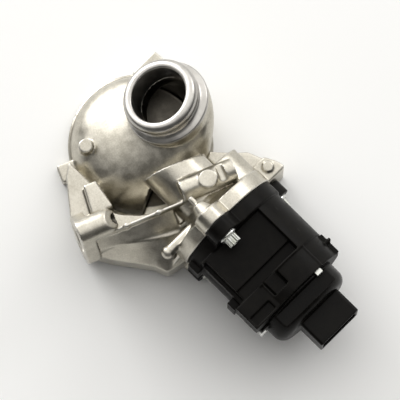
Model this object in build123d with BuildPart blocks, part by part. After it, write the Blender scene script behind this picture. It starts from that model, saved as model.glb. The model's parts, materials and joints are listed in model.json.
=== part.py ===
"""Exhaust gas recirculation valve with mixing housing and coaxial electric actuator.

Millimetres, +Z up. The outlet face lies on Z = 0 with the bell's centre at the origin,
and the valve, rotor and connector share one axis along +X at the height AXIS_Z.
"""

import os
from math import cos, radians, sin

from build123d import *

os.makedirs("parts", exist_ok=True)

# Main axis of valve and actuator
AXIS_Z = 35.0

# Outlet bell
RIM_R = 42.0
RIM_H = 5.0
CAVITY_R = 35.5
FLOOR_H = 5.0
PORT = Vector(-2.0, -10.0, 0.0)
PORT_R = 20.0
SEAL_GROOVE_R = 23.0
SEAL_GROOVE_W = 2.6
SEAL_GROOVE_H = 2.2
OUTLET_BOLT_R = 45.5
OUTLET_BOLT_HOLE_R = 2.5
OUTLET_BOLT_DEPTH = 7.0
OUTLET_BOLT_ANGLES = (6.0, 126.0, 246.0)
LUG_H = 9.0

# Hose spigot
MOUTH = Vector(-6.0, 20.5, 60.0)
SPIGOT_AXIS = Vector(-0.386, -0.141, 0.912).normalized()
SPIGOT_BORE_R = 16.5
SPIGOT_BODY_R = 23.6
SPIGOT_LENGTH = 22.0

# Exhaust gas inlet
DUCT_ANGLE = 68.0
ALONG = Vector(cos(radians(DUCT_ANGLE)), sin(radians(DUCT_ANGLE)), 0.0)
ACROSS = Vector(sin(radians(DUCT_ANGLE)), -cos(radians(DUCT_ANGLE)), 0.0)
INLET_N = 42.0
INLET_E = -55.5
INLET_Z = 31.0
INLET_BORE_R = 9.5
INLET_BOLT_OFFSET = 23.2
DUCT_CORNER_R = 3.5
INLET_BOLT_HOLE_R = 3.4
BOLT_LINE_Z = INLET_Z + INLET_BOLT_OFFSET
BOSS_R = 6.75
BOSS_B_R = 7.5
BOSS_B_LENGTH = 17.0
SADDLE_Z = 58.6
ROD_X = 60.2
ROD_Z = 44.0
ROD_R = 3.4

# Valve
SEAT_X0 = 42.5
SEAT_X1 = 47.0
SEAT_R = 14.0
SEAT_BORE_R = 10.5
CHAMBER_X1 = 54.0
CHAMBER_R = 13.2
NECK_BORE_R = 14.4
NECK_R = 17.4
NECK_END_N = 25.5
NECK_WALL = 1.8
PASSAGE_X0 = 18.0
PASSAGE_Y = 4.0
PASSAGE_Z = 27.0
PASSAGE_R = 6.5
GUIDE_X1 = 58.0
GUIDE_LENGTH = 12.0
STEM_R = 3.0
GUIDE_BORE_R = 3.04
GUIDE_OUTER_R = 5.5
SPRING_POCKET_R = 12.5
LIFT = 6.0
LIFT_TURN = 120.0

# Actuator flange
FLANGE_X0 = 62.0
FLANGE_X1 = 71.0
FLANGE_R = 33.0
SHOULDER_X0 = 43.5
SHOULDER_Y = 32.3
SHOULDER_RISE = 16.8
EAR_R = 8.2
EAR_PCR = 37.5
EAR_ANGLES = (105.5, -33.0, -131.0)
EAR_X1 = 80.0
SCREW_HOLE_R = 3.0
SLEEVE_R = 4.6
SLEEVE_BORE_R = 3.2

# Actuator body
FRONT_R = 32.3
BODY_R = 31.2
LID_Z = 59.0
LID_Y0 = -30.0
LID_Y1 = 14.0
LID_X1 = 105.0
COLLAR_X0 = 112.0
COLLAR_X1 = 128.5
COLLAR_Z = 61.0
COLLAR_Y0 = -35.0
COLLAR_Y1 = 17.0
STATOR_R = 20.0
STATOR_BORE_R = 18.7
REAR_BORE_R = 22.5

# Rotor and drive
PLUNGER_R = 6.0
GUIDE_TUBE_BORE_R = 6.04
GUIDE_TUBE_R = 8.0
SLEEVE_INNER_R = 8.3
SLEEVE_OUTER_R = 11.0
SLEEVE_X0 = 79.0
SLEEVE_X1 = 94.0
PIN_X = 88.0
PIN_R = 1.2
PIN_SLOT_R = 1.32
SHAFT_R = 4.0
SHAFT_X1 = 130.0
BALL_COUNT = 10
BALL_PLAY = 0.1
INNER_RACE_R = 12.9
OUTER_RACE_R = 16.3
BALL_R = (OUTER_RACE_R - INNER_RACE_R) / 2 - BALL_PLAY
BALL_PCR = (OUTER_RACE_R + INNER_RACE_R) / 2
OUTER_LIP = 0.3125 * BALL_R
INNER_LIP = 0.25 * BALL_R
CAGE_REACH = 0.4375 * BALL_R
BEARING_WALL = 2.2
BEARING_OUTER_R = OUTER_RACE_R + BEARING_WALL
BEARING_WIDTH = 6.0
BEARING_MID = BEARING_WIDTH / 2
BEARING_X0 = 80.5
ARMATURE_R = 16.2
ARMATURE_X0 = 98.5
ARMATURE_X1 = 112.0

# End cap and connector
CAP_R = 26.0
CAP_Y = -2.0
CAP_X1 = 142.5
CAP_RIM = 1.3
CAP_FLAT_Z = 52.0
PLUG_X1 = 159.5
PLUG_Y0 = -14.0
PLUG_Y1 = 15.3
PLUG_Z0 = 26.0
PLUG_Z1 = 46.0
PLUG_WALL = 1.8
PIN_COUNT = 5
PIN_PITCH = 4.6


def axial(x, y=0.0, z=AXIS_Z):
    """Plane square to the main axis, with its own axes along +Y and +Z."""
    return Plane(origin=(x, y, z), x_dir=(0, 1, 0), z_dir=(1, 0, 0))


def spigot_plane(station):
    """Plane square to the spigot's axis, a distance below its mouth."""
    return Plane(
        origin=MOUTH - SPIGOT_AXIS * station,
        x_dir=(SPIGOT_AXIS.Z, 0, -SPIGOT_AXIS.X),
        z_dir=SPIGOT_AXIS,
    )


def duct_point(across, along, height=0.0):
    """Point given in the gas duct's own axes."""
    return ACROSS * across + ALONG * along + Vector(0, 0, height)


def duct_plane(across, along, height):
    """Plane square to the gas duct, looking in from its inlet."""
    return Plane(origin=duct_point(across, along, height), x_dir=ACROSS * -1, z_dir=ALONG)


def disc(plane, radius, depth, mode=Mode.ADD):
    """Round bar or bore from a plane."""
    with BuildSketch(plane) as outline:
        Circle(radius)
    extrude(outline.sketch, amount=depth, mode=mode)


def slab(plane, points, depth, mode=Mode.ADD):
    """Straight-sided prism from a plane."""
    with BuildSketch(plane) as outline:
        with BuildLine():
            Polyline(*points, close=True)
        make_face()
    extrude(outline.sketch, amount=depth, mode=mode)


def turned(plane, points, mode=Mode.ADD):
    """Solid of revolution about a plane's normal from points (radius, station)."""
    side = Plane(origin=plane.origin, x_dir=plane.x_dir, z_dir=plane.y_dir * -1)
    with BuildSketch(side) as outline:
        with BuildLine():
            Polyline(*points, close=True)
        make_face()
    revolve(outline.sketch, axis=Axis(plane.origin, plane.z_dir), mode=mode)


def block(low, high, mode=Mode.ADD):
    """Box between two opposite corners."""
    centre = tuple((a + b) / 2 for a, b in zip(low, high))
    size = tuple(b - a for a, b in zip(low, high))
    with Locations(centre):
        Box(*size, mode=mode)


def round_face(plane, radius):
    """Circular section for a loft."""
    with BuildSketch(plane) as outline:
        Circle(radius)
    return outline.sketch


def end_zone(across):
    """Plan outline of everything on the bell's side of a line square to the gas duct's width."""
    corners = ((across, -60), (across, 70), (across - 60, 70), (across - 60, -60))
    return [(duct_point(n, e).X, duct_point(n, e).Y) for n, e in corners]


def duct_face(along, points):
    """Flat face square to the gas duct, from distances across and heights."""
    corners = [duct_point(across, along, height) for across, height in points]
    return Face(Wire.make_polygon(corners))


def plan_face(points, height, radius):
    """Polygonal section with rounded corners, in plan."""
    with BuildSketch(Plane.XY.offset(height)) as outline:
        with BuildLine():
            Polyline(*points, close=True)
        make_face()
        fillet(outline.vertices(), radius)
    return outline.sketch


def soft_slab(plane, points, depth, radius, edge_radius):
    """Prism with rounded corners and a rounded far face, added to the open part."""
    with BuildPart(mode=Mode.PRIVATE) as piece:
        with BuildSketch(plane) as outline:
            with BuildLine():
                Polyline(*points, close=True)
            make_face()
            fillet(outline.vertices(), radius)
        extrude(amount=depth)
        far_plane = plane.offset(depth)
        far_edges = [
            edge
            for edge in piece.edges()
            if abs(far_plane.to_local_coords(edge @ 0.5).Z) < 0.01
        ]
        fillet(far_edges, edge_radius)
    add(piece.part)


def pipe(start, end, radius, mode=Mode.ADD):
    """Round bar between two points with a ball at its far end."""
    way = end - start
    disc(Plane(origin=start, z_dir=way.normalized()), radius, way.length, mode=mode)
    with Locations(end):
        Sphere(radius, mode=mode)


def ear_centre(angle):
    """Ear position in the axes of an axial plane."""
    return (EAR_PCR * cos(radians(angle)), EAR_PCR * sin(radians(angle)))


def ear(x0, x1, angle, mode=Mode.ADD):
    """Screw ear blended into the round flange."""
    y, z = ear_centre(angle)
    with BuildSketch(axial(x0)) as outline:
        with Locations((y, z)):
            Circle(EAR_R)
        with Locations((y * 0.62, z * 0.62)):
            Circle(11.0)
        make_hull()
    extrude(outline.sketch, amount=x1 - x0, mode=mode)


# Cast housing
with BuildPart() as valve_housing:
    disc(Plane.XY, RIM_R, RIM_H)
    loft(
        [
            round_face(Plane.XY.offset(RIM_H - 1), 40.6),
            round_face(Plane(origin=(1.0, 1.6, 15), z_dir=(-0.04, 0, 1)), 38.4),
            round_face(Plane(origin=(4.0, 10.5, 28), z_dir=(-0.2, -0.03, 1)), 32.0),
            round_face(spigot_plane(SPIGOT_LENGTH), SPIGOT_BODY_R),
        ]
    )
    # Flat side of the bell facing the valve
    slab(
        Plane.XY.offset(RIM_H),
        [(21.3, -8), (34.0, -39), (60, -39), (60, -8)],
        60,
        mode=Mode.SUBTRACT,
    )
    turned(
        spigot_plane(0),
        [
            (0, 0),
            (19.8, 0),
            (21.6, -1.2),
            (22.4, -2.6),
            (22.4, -5.0),
            (21.8, -6.2),
            (20.7, -7.2),
            (20.6, -9.4),
            (21.4, -11.2),
            (25.0, -13.2),
            (25.0, -15.4),
            (SPIGOT_BODY_R, -16.0),
            (SPIGOT_BODY_R, -SPIGOT_LENGTH),
            (0, -SPIGOT_LENGTH),
        ],
    )
    # Neck over the valve, ended square to the gas duct
    with BuildPart(mode=Mode.PRIVATE) as neck:
        disc(axial(14), NECK_R, FLANGE_X0 - 14)
        slab(Plane.XY, end_zone(NECK_END_N), 70, mode=Mode.SUBTRACT)
    add(neck.part)
    disc(axial(FLANGE_X0), FLANGE_R, FLANGE_X1 - FLANGE_X0)
    turned(
        axial(FLANGE_X0),
        [(0, -13), (17, -13), (17.6, -8), (19.4, -4.5), (22.8, -2), (28, -0.4), (28, 1), (0, 1)],
    )
    for angle in EAR_ANGLES:
        ear(FLANGE_X0, FLANGE_X1, angle)
    for angle in EAR_ANGLES[1:]:
        ear_y, ear_z = ear_centre(angle)
        disc(axial(FLANGE_X0 - 6, ear_y, AXIS_Z + ear_z), EAR_R - 0.6, 8)
    # Rounded shoulder and web towards the lower ear
    with BuildSketch(Plane.YZ.offset(SHOULDER_X0)) as shoulder:
        with Locations((0, AXIS_Z)):
            Ellipse(SHOULDER_Y, SHOULDER_RISE)
        with Locations((SHOULDER_Y / 2, AXIS_Z - SHOULDER_RISE + 4)):
            Rectangle(SHOULDER_Y, 2 * SHOULDER_RISE - 8)
        with Locations((-SHOULDER_Y, AXIS_Z)):
            Rectangle(2 * SHOULDER_Y, 4 * SHOULDER_RISE, mode=Mode.SUBTRACT)
    extrude(amount=20)
    soft_slab(
        Plane.XY.offset(12),
        [(28, 18), (37, 26), (43.5, 32), (49, 38), (59, 42), (64, 43.0), (66, 20)],
        14,
        1.5,
        1.2,
    )
    soft_slab(
        Plane.XY,
        [(58.2, 26), (58.2, 41.5), (65, 45), (FLANGE_X1, 46.6), (FLANGE_X1, 26)],
        33,
        1.6,
        1.0,
    )
    disc(Plane(origin=(64.0, 39.0, 33)), 3.1, 1.2)
    # Conical boss behind the upper ear
    cone_y, cone_z = ear_centre(EAR_ANGLES[0])
    turned(
        axial(50, cone_y, AXIS_Z + cone_z),
        [(0, 0), (1.3, 0), (1.7, 0.4), (1.7, 5.5), (3.6, 6.0), (7.4, 14), (7.4, 16), (0, 16)],
    )
    slab(
        Plane(origin=(0, cone_y + 2.2, 0), x_dir=(1, 0, 0), z_dir=(0, -1, 0)),
        [(50.5, 50), (55.5, 70), (66, 72), (66, 50)],
        4.4,
    )
    # Gas duct with its lower lobe
    lobe = [(10, -57), (20, -64.5), (28, -66.5), (38, -61), (58, -46.5), (66, -43.5), (68.5, -31)]
    lobe += [(68.5, -6), (44.5, -6), (42, -14), (37.6, -23), (31, -31.5), (23, -37.8), (12, -42.6)]
    upper = [(16, -53), (24, -58), (30, -59), (36, -55), (47, -39), (53, -30), (57, -22)]
    upper += [(60, -8), (46, -8), (44, -15), (40, -24), (33.5, -33), (26, -40), (18, -45)]
    extrude(plan_face(lobe, 6, DUCT_CORNER_R), amount=18)
    loft([plan_face(lobe, 23.9, DUCT_CORNER_R), plan_face(upper, 38, DUCT_CORNER_R)], ruled=True)
    loft(
        [
            duct_face(INLET_E + 5, [(46.4, 24), (46.4, 47), (52.5, 38), (52.5, 24)]),
            duct_face(0, [(46.4, 24), (46.4, 47), (59.5, 38), (59.5, 24)]),
        ],
        ruled=True,
    )
    # Inlet flange and the bosses on its upper bolt line
    with BuildSketch(duct_plane(INLET_N, INLET_E, INLET_Z)) as inlet_outline:
        Circle(14.5)
        with Locations((0, INLET_BOLT_OFFSET), (0, -INLET_BOLT_OFFSET)):
            Circle(7.6)
        make_hull()
    extrude(inlet_outline.sketch, amount=8)
    with BuildPart(mode=Mode.PRIVATE) as boss_b:
        disc(duct_plane(INLET_N, INLET_E, BOLT_LINE_Z), BOSS_B_R, BOSS_B_LENGTH)
        with Locations(duct_point(INLET_N, INLET_E + BOSS_B_LENGTH, BOLT_LINE_Z)):
            Sphere(BOSS_B_R)
        slope = Plane(
            origin=duct_point(INLET_N, INLET_E + BOSS_B_LENGTH + 3.6, BOLT_LINE_Z + 3.6),
            z_dir=ALONG + Vector(0, 0, 1),
        )
        with BuildSketch(slope):
            Rectangle(40, 40)
        extrude(amount=20, mode=Mode.SUBTRACT)
    add(boss_b.part)
    disc(duct_plane(INLET_N, INLET_E + 6, INLET_Z - INLET_BOLT_OFFSET), BOSS_R - 0.2, 10)
    disc(duct_plane(INLET_N, 7.5, BOLT_LINE_Z), BOSS_R, 33)
    slab(duct_plane(0, INLET_E + 5, 0), [(-37, 30), (-37, 54), (-47, 54), (-47, 30)], 13.5)
    slab(duct_plane(0, 8.5, 0), [(-37.5, 30), (-36.5, 54), (-47.5, 54), (-46.5, 30)], 31)
    disc(Plane(origin=duct_point(INLET_N + 0.5, 24, 54)), 5.3, 7.6)
    # Tall thin rib between the two bosses
    slab(duct_plane(0, -38, 0), [(-46.4, 30), (-46.4, 49.5), (-48.2, 49.5), (-48.2, 30)], 62)
    for nub in (-28.0, -8.0, 14.0):
        disc(Plane(origin=duct_point(47.3, nub, 40)), 1.5, 10.2)
    # Slender bar with its web, and the ribs below it
    pipe(Vector(ROD_X, -5, ROD_Z), Vector(ROD_X, -37.5, ROD_Z), ROD_R)
    with Locations((ROD_X, -37.5, ROD_Z)):
        Sphere(ROD_R + 0.5)
    block((ROD_X - 1.3, -37, 22), (ROD_X + 1.3, -6, ROD_Z))
    slab(Plane.YZ.offset(53.6), [(-6, 24), (-6, 46), (-20, 40), (-38, 30), (-42, 24)], 2.2)
    slab(Plane.YZ.offset(63.4), [(-6, 24), (-6, 52), (-20, 48), (-33, 34), (-40, 24)], 2.2)
    # Gusset and side web next to the bell
    slab(Plane.XY.offset(3), [(-20, -38), (-14, -46), (4, -60.5), (12, -62), (16, -38)], 19)
    soft_slab(
        Plane.XY.offset(12),
        [(-2.8, -43.4), (0.4, -36), (18.5, -39.5), (13.2, -51.8)],
        22,
        1.2,
        1.4,
    )
    # Locating lugs with the outlet bolts
    soft_slab(Plane.XY, [(-33, 26), (-20, 26), (-20, 44.6), (-33, 44.6)], LUG_H, 1.0, 0.8)
    lug_plane = Plane(
        origin=(0, 0, 0), x_dir=(cos(radians(246)), sin(radians(246)), 0), z_dir=(0, 0, 1)
    )
    soft_slab(lug_plane, [(36, -5.5), (50, -5.5), (50, 5.5), (36, 5.5)], LUG_H, 1.0, 0.8)
    block((36, -3, 0), (53, 12, LUG_H))
    # Round pad on the bell
    disc(Plane(origin=(-19.3, -25, 12)), 4.2, 13.2)

    # Hollow of the bell and spigot
    with BuildPart(mode=Mode.PRIVATE) as hollow:
        loft(
            [
                round_face(Plane.XY.offset(FLOOR_H), CAVITY_R),
                round_face(Plane(origin=(1.0, 1.6, 14), z_dir=(-0.04, 0, 1)), 34.6),
                round_face(Plane(origin=(4.0, 10.5, 25.5), z_dir=(-0.2, -0.03, 1)), 28.2),
                round_face(spigot_plane(24), SPIGOT_BORE_R + 0.6),
            ]
        )
        slab(
            Plane.XY.offset(FLOOR_H - 1),
            [(18.0, -5), (32.0, -39.2), (60, -39.2), (60, -5)],
            60,
            mode=Mode.SUBTRACT,
        )
    add(hollow.part, mode=Mode.SUBTRACT)
    disc(spigot_plane(-1), SPIGOT_BORE_R, -30, mode=Mode.SUBTRACT)
    disc(Plane(origin=PORT - Vector(0, 0, 1)), PORT_R, 12, mode=Mode.SUBTRACT)
    with BuildPart(mode=Mode.PRIVATE) as neck_bore:
        disc(axial(16), NECK_BORE_R, SEAT_X0 - 16)
        slab(Plane.XY, end_zone(NECK_END_N + NECK_WALL), 70, mode=Mode.SUBTRACT)
    add(neck_bore.part, mode=Mode.SUBTRACT)
    disc(
        axial(PASSAGE_X0, PASSAGE_Y, PASSAGE_Z),
        PASSAGE_R,
        SEAT_X0 - LIFT - PASSAGE_X0,
        mode=Mode.SUBTRACT,
    )
    # Seat, chamber, guide and spring pocket
    disc(axial(SEAT_X0 - 1), SEAT_R, SEAT_X1 - SEAT_X0 + 1, mode=Mode.SUBTRACT)
    disc(axial(SEAT_X1 - 1), CHAMBER_R, CHAMBER_X1 - SEAT_X1 + 1, mode=Mode.SUBTRACT)
    disc(axial(CHAMBER_X1 - 2), GUIDE_OUTER_R, GUIDE_LENGTH, mode=Mode.SUBTRACT)
    disc(axial(GUIDE_X1), SPRING_POCKET_R, FLANGE_X1 - GUIDE_X1 + 1, mode=Mode.SUBTRACT)
    # Gas passage
    inlet_mouth = duct_point(INLET_N, INLET_E - 1, INLET_Z)
    inlet_end = duct_point(INLET_N, INLET_E + 9, INLET_Z)
    bend = duct_point(50.5, -28, 24)
    turn_in = duct_point(51.5, -18, 26)
    pipe(inlet_mouth, inlet_end, INLET_BORE_R, mode=Mode.SUBTRACT)
    pipe(inlet_end, bend, INLET_BORE_R - 1.5, mode=Mode.SUBTRACT)
    pipe(bend, turn_in, INLET_BORE_R - 1.9, mode=Mode.SUBTRACT)
    pipe(turn_in, Vector((SEAT_X1 + CHAMBER_X1) / 2, -7, 31), 5.4, mode=Mode.SUBTRACT)
    # Bolt bores and saddle cut
    for height, depth in ((INLET_Z - INLET_BOLT_OFFSET, 13), (BOLT_LINE_Z, 28)):
        disc(
            duct_plane(INLET_N, INLET_E - 1, height), INLET_BOLT_HOLE_R, depth, mode=Mode.SUBTRACT
        )
    disc(duct_plane(INLET_N, 6.5, BOLT_LINE_Z + 0.6), INLET_BOLT_HOLE_R - 0.4, 36, mode=Mode.SUBTRACT)
    slab(
        duct_plane(0, 30.2, 0),
        [(-34, SADDLE_Z), (-34, 66), (-50, 66), (-50, SADDLE_Z)],
        4.2,
        mode=Mode.SUBTRACT,
    )
    block((FLANGE_X0 - 8, -40, -5), (FLANGE_X1 + 1, 20, 0), Mode.SUBTRACT)
    for angle in EAR_ANGLES:
        ear_y, ear_z = ear_centre(angle)
        disc(
            axial(FLANGE_X1 + 1, ear_y, AXIS_Z + ear_z), SCREW_HOLE_R, -14, mode=Mode.SUBTRACT
        )
    for angle in OUTLET_BOLT_ANGLES:
        at = Vector(cos(radians(angle)), sin(radians(angle)), 0) * OUTLET_BOLT_R
        disc(Plane(origin=at), OUTLET_BOLT_HOLE_R, OUTLET_BOLT_DEPTH, mode=Mode.SUBTRACT)
    # Seal grooves
    turned(
        Plane(origin=PORT),
        [
            (SEAL_GROOVE_R, -1),
            (SEAL_GROOVE_R + SEAL_GROOVE_W, -1),
            (SEAL_GROOVE_R + SEAL_GROOVE_W, SEAL_GROOVE_H),
            (SEAL_GROOVE_R, SEAL_GROOVE_H),
        ],
        mode=Mode.SUBTRACT,
    )
    turned(axial(FLANGE_X1), [(25, -1.8), (27.6, -1.8), (27.6, 1), (25, 1)], mode=Mode.SUBTRACT)
valve_housing.part.label = "valve_housing"
export_step(valve_housing.part, "parts/valve_housing.step")

# Seat, guide and shield in the housing
with BuildPart() as valve_seat_ring:
    turned(
        axial(SEAT_X0),
        [
            (SEAT_BORE_R + 1.6, 0),
            (SEAT_R, 0),
            (SEAT_R, SEAT_X1 - SEAT_X0),
            (SEAT_BORE_R, SEAT_X1 - SEAT_X0),
            (SEAT_BORE_R, 1.6),
        ],
    )
valve_seat_ring.part.label = "valve_seat_ring"
export_step(valve_seat_ring.part, "parts/valve_seat_ring.step")

with BuildPart() as stem_guide:
    disc(axial(CHAMBER_X1 - 2), GUIDE_OUTER_R, GUIDE_LENGTH)
    disc(axial(CHAMBER_X1 - 3), GUIDE_BORE_R, GUIDE_LENGTH + 2, mode=Mode.SUBTRACT)
stem_guide.part.label = "stem_guide"
export_step(stem_guide.part, "parts/stem_guide.step")

with BuildPart() as soot_shield:
    disc(axial(CHAMBER_X1 - 3.2), 9.0, 1.2)
    disc(axial(CHAMBER_X1 - 4), GUIDE_BORE_R + 0.2, 4, mode=Mode.SUBTRACT)
    for side in (60.0, 180.0, 300.0):
        at = Vector(0, 7.2 * cos(radians(side)), 7.2 * sin(radians(side)))
        disc(axial(CHAMBER_X1 - 2, at.Y, AXIS_Z + at.Z), 1.2, 2)
soot_shield.part.label = "soot_shield"
export_step(soot_shield.part, "parts/soot_shield.step")

with BuildPart() as stem_seal:
    turned(
        axial(GUIDE_X1),
        [(GUIDE_OUTER_R, 0), (7.4, 0), (7.4, 7.4), (3.06, 7.4), (3.06, 6.2), (GUIDE_OUTER_R, 6.0)],
    )
stem_seal.part.label = "stem_seal"
export_step(stem_seal.part, "parts/stem_seal.step")

with BuildPart() as outlet_seal_ring:
    turned(
        Plane(origin=PORT),
        [
            (SEAL_GROOVE_R, 0.1),
            (SEAL_GROOVE_R + SEAL_GROOVE_W, 0.1),
            (SEAL_GROOVE_R + SEAL_GROOVE_W, SEAL_GROOVE_H),
            (SEAL_GROOVE_R, SEAL_GROOVE_H),
        ],
    )
outlet_seal_ring.part.label = "outlet_seal_ring"
export_step(outlet_seal_ring.part, "parts/outlet_seal_ring.step")

with BuildPart() as actuator_seal_ring:
    turned(axial(FLANGE_X1), [(25, -1.8), (27.6, -1.8), (27.6, 0), (25, 0)])
actuator_seal_ring.part.label = "actuator_seal_ring"
export_step(actuator_seal_ring.part, "parts/actuator_seal_ring.step")

# Valve and its spring
with BuildPart() as valve_disc:
    turned(
        axial(SEAT_X0),
        [
            (0, -3.2),
            (3.4, -3.2),
            (8.0, -2.0),
            (SEAT_BORE_R + 1.7, -1.4),
            (SEAT_BORE_R + 1.7, -0.12),
            (SEAT_BORE_R + 0.18, 1.4),
            (7.0, 1.4),
            (4.6, 2.6),
            (STEM_R, 5.4),
            (0, 5.4),
        ],
    )
    disc(axial(SEAT_X0 - 4), STEM_R - 0.4, 11, mode=Mode.SUBTRACT)
valve_disc.part.label = "valve_disc"
export_step(valve_disc.part, "parts/valve_disc.step")

STEM_X1 = 76.3
RETAINER_X = 71.6
with BuildPart() as valve_stem:
    disc(axial(SEAT_X0 - 3.6), STEM_R - 0.4, 9)
    disc(axial(SEAT_X0 + 5.4), STEM_R, RETAINER_X - SEAT_X0 - 5.4)
    disc(axial(RETAINER_X), STEM_R - 0.8, 2.4)
    disc(axial(RETAINER_X + 2.4), STEM_R, STEM_X1 - RETAINER_X - 2.4)
valve_stem.part.label = "valve_stem"
export_step(valve_stem.part, "parts/valve_stem.step")

with BuildPart() as spring_retainer:
    turned(
        axial(RETAINER_X),
        [(4.6, 0), (10.2, 0), (10.2, 1.4), (6.0, 1.4), (5.4, 2.8), (4.2, 2.8)],
    )
spring_retainer.part.label = "spring_retainer"
export_step(spring_retainer.part, "parts/spring_retainer.step")

with BuildPart() as retainer_collets:
    turned(
        axial(RETAINER_X),
        [(STEM_R - 0.8, 0), (4.6, 0), (4.2, 2.4), (STEM_R - 0.8, 2.4)],
    )
    block((RETAINER_X - 1, -6, AXIS_Z - 0.3), (RETAINER_X + 4, 6, AXIS_Z + 0.3), Mode.SUBTRACT)
retainer_collets.part.label = "retainer_collets"
export_step(retainer_collets.part, "parts/retainer_collets.step")

SPRING_R = 9.0
WIRE_R = 0.8
SPRING_LENGTH = RETAINER_X - GUIDE_X1 - 2 * WIRE_R
with BuildPart() as return_spring:
    coil = Helix(
        pitch=SPRING_LENGTH / 3.5,
        height=SPRING_LENGTH,
        radius=SPRING_R,
        center=(GUIDE_X1 + WIRE_R, 0, AXIS_Z),
        direction=(1, 0, 0),
    )
    with BuildSketch(Plane(origin=coil @ 0, z_dir=coil % 0)) as wire:
        Circle(WIRE_R)
    sweep(wire.sketch, path=coil)
return_spring.part.label = "return_spring"
export_step(return_spring.part, "parts/return_spring.step")

# Actuator body
with BuildPart() as motor_body:
    disc(axial(FLANGE_X1), FRONT_R, EAR_X1 - FLANGE_X1)
    for angle in EAR_ANGLES:
        ear(FLANGE_X1, EAR_X1, angle)
    disc(axial(EAR_X1 - 1), BODY_R, COLLAR_X0 - EAR_X1 + 2)
    disc(axial(COLLAR_X0), BODY_R - 0.8, COLLAR_X1 - COLLAR_X0)
    block((EAR_X1 - 0.5, LID_Y0, AXIS_Z), (COLLAR_X0, LID_Y1, LID_Z))
    block((COLLAR_X0, COLLAR_Y0, 45), (COLLAR_X1, COLLAR_Y1, COLLAR_Z))
    # The body's round side stands over the flat lid, which drops into the rear channel
    block((EAR_X1 + 0.5, LID_Y0 - 3, LID_Z), (COLLAR_X0, LID_Y1, 80), Mode.SUBTRACT)
    block((LID_X1, LID_Y0 - 1, LID_Z - 2.6), (COLLAR_X0, LID_Y1, 80), Mode.SUBTRACT)
    block((EAR_X1 + 1, LID_Y0 - 3.5, 51), (LID_X1 + 6, LID_Y0 + 2.4, 80), Mode.SUBTRACT)
    # Side tab, ribs and clip bumps
    block((114, 24, 26), (128, 31.6, 43))
    block((118.5, 28, 24), (120.5, 33.0, 45))
    block((116, -33.0, 32), (COLLAR_X1, -27, 46))
    block((73, -34.4, 28), (81, -28, 44))
    block((104.5, -34.6, 28), (110.5, -26, 46))
    # Latch window, slots and pocket in the collar
    block((COLLAR_X0 - 1, -14.4, 58.8), (122.4, -13.2, 65), Mode.SUBTRACT)
    block((COLLAR_X0 - 1, -4.6, 58.8), (122.4, -3.4, 65), Mode.SUBTRACT)
    block((COLLAR_X0 - 1, -13.2, COLLAR_Z - 0.7), (122.4, -4.6, 65), Mode.SUBTRACT)
    block((121.4, -33.5, COLLAR_Z - 2.2), (127.2, -18.5, 65), Mode.SUBTRACT)
    # Bores
    disc(axial(FLANGE_X1 - 1), 10.9, 6, mode=Mode.SUBTRACT)
    disc(axial(FLANGE_X1 + 3), 10.4, 6, mode=Mode.SUBTRACT)
    disc(axial(78), BEARING_OUTER_R, 12, mode=Mode.SUBTRACT)
    disc(axial(88), STATOR_R, 28, mode=Mode.SUBTRACT)
    disc(axial(114.5), REAR_BORE_R, 20, mode=Mode.SUBTRACT)
    for angle in EAR_ANGLES:
        ear_y, ear_z = ear_centre(angle)
        disc(axial(FLANGE_X1 - 1, ear_y, AXIS_Z + ear_z), SLEEVE_R, 12, mode=Mode.SUBTRACT)
        disc(axial(EAR_X1, ear_y, AXIS_Z + ear_z), 6.2, 9, mode=Mode.SUBTRACT)
    block((FLANGE_X1 - 1, -40, -5), (EAR_X1 + 1, 20, 0), Mode.SUBTRACT)
    # Slots for the retaining clips
    block((122.5, 10.9, 57.9), (132, 15.1, 59.3), Mode.SUBTRACT)
    block((122.5, -33.6, 35.9), (132, -32.2, 40.1), Mode.SUBTRACT)
motor_body.part.label = "motor_body"
export_step(motor_body.part, "parts/motor_body.step")

with BuildPart() as ear_sleeves:
    for angle in EAR_ANGLES:
        ear_y, ear_z = ear_centre(angle)
        disc(axial(FLANGE_X1, ear_y, AXIS_Z + ear_z), SLEEVE_R, EAR_X1 - FLANGE_X1)
        disc(
            axial(FLANGE_X1 - 1, ear_y, AXIS_Z + ear_z), SLEEVE_BORE_R, 12, mode=Mode.SUBTRACT
        )
ear_sleeves.part.label = "ear_sleeves"
export_step(ear_sleeves.part, "parts/ear_sleeves.step")

with BuildPart() as actuator_screws:
    for angle in EAR_ANGLES:
        ear_y, ear_z = ear_centre(angle)
        height = AXIS_Z + ear_z
        disc(axial(FLANGE_X1 - 12, ear_y, height), SCREW_HOLE_R, EAR_X1 - FLANGE_X1 + 12.5)
        turned(axial(EAR_X1, ear_y, height), [(0, 0), (5.6, 0), (5.6, 1.0), (4.6, 1.9), (0, 1.9)])
        with BuildSketch(axial(EAR_X1 + 1.5, ear_y, height)) as star:
            Circle(3.1)
            with PolarLocations(3.05, 6):
                Circle(0.85)
        extrude(star.sketch, amount=5.2)
        disc(axial(EAR_X1 + 5.0, ear_y, height), 1.7, 3, mode=Mode.SUBTRACT)
actuator_screws.part.label = "actuator_screws"
export_step(actuator_screws.part, "parts/actuator_screws.step")

CLIP_HOOK_X0 = COLLAR_X1 + CAP_RIM + 0.1
CLIP_HOOK_X1 = CLIP_HOOK_X0 + 1.2
with BuildPart() as retaining_clips:
    block((123, 11, 58), (CLIP_HOOK_X1, 15, 59.2))
    block((CLIP_HOOK_X0, 11, 54.4), (CLIP_HOOK_X1, 15, 59.2))
    block((123, -33.5, 36), (CLIP_HOOK_X1, -32.3, 40))
    block((CLIP_HOOK_X0, -33.5, 36), (CLIP_HOOK_X1, -29.4, 40))
retaining_clips.part.label = "retaining_clips"
export_step(retaining_clips.part, "parts/retaining_clips.step")

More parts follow.
